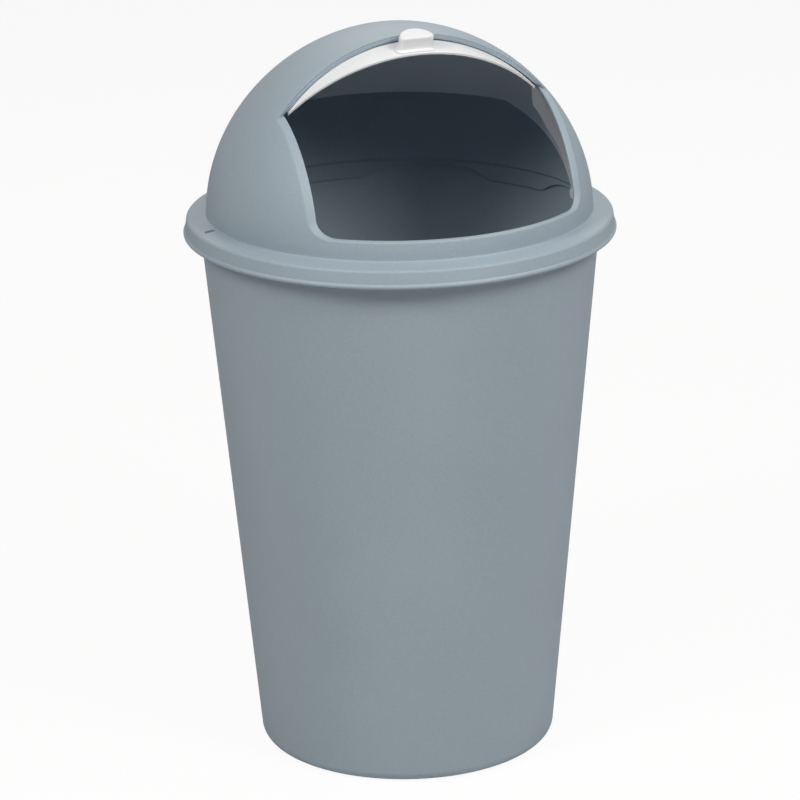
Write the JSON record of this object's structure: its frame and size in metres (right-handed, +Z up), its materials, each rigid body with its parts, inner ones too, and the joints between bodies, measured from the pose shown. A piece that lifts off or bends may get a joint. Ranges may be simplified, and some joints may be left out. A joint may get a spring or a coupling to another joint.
{
  "type": "dome top kitchen waste bin",
  "caption": "Round tapered kitchen waste bin with a lift-off dome hood and a roll-back flap that turns on side pivots, opened by a small grip.",
  "frame": {"origin": "centre of the bin's footprint, on the floor", "axes": "+Z up along the bin's own axis, opening of the hood towards -Y, visor's axle along X"},
  "size_m": [0.4, 0.4, 0.6935],
  "materials": {
    "bin_body": "fine-grained matt grey-blue",
    "dome_hood": "fine-grained matt grey-blue",
    "visor": "smooth white",
    "visor_grip": "smooth white"
  },
  "bodies": {
    "bin": {"bin_body": "bin_body"},
    "hood": {"dome_hood": "dome_hood"},
    "flap": {"visor": "visor", "visor_grip": "visor_grip"}
  },
  "joints": [
    {"name": "hood_lift", "type": "slide", "parent": "bin", "child": "hood", "axis": [0, 0, 1], "range_m": [0, 0.12]},
    {"name": "visor_turn", "type": "hinge", "parent": "hood", "child": "flap", "pos_m": [0, 0, 0.51035], "axis": [1, 0, 0], "range_deg": [0, 65]}
  ]
}
